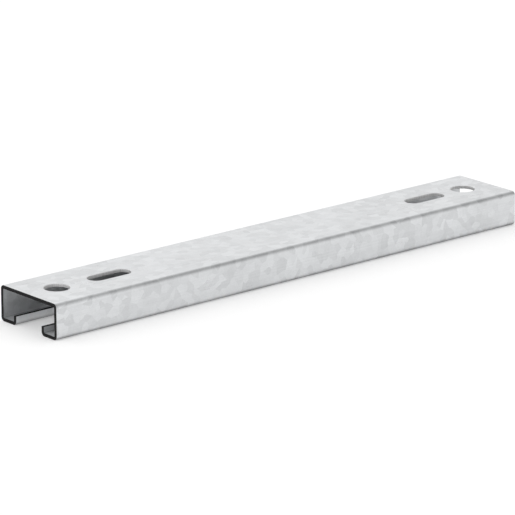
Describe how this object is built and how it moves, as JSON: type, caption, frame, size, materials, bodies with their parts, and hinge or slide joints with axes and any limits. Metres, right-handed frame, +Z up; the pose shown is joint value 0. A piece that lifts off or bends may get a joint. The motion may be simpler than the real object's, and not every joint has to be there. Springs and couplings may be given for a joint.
{
  "type": "ceiling channel",
  "caption": "Short roll-formed lipped C-channel of zinc-coated sheet steel, lying mouth down, with a round hole and a long slot through the web near each end.",
  "frame": {"origin": "under the middle of the channel, level with the underside of the lips that it lies on", "axes": "+X along the channel, +Y across it, +Z up through the web to the ceiling"},
  "size_m": [0.35, 0.05, 0.021],
  "materials": {
    "zinc_coated_strip": "bright zinc coat with faint crystals on rolled strip, satin, with dark bare steel at the sawn ends and brighter steel on the punched walls"
  },
  "bodies": {
    "root": {"channel": "zinc_coated_strip"}
  },
  "joints": []
}
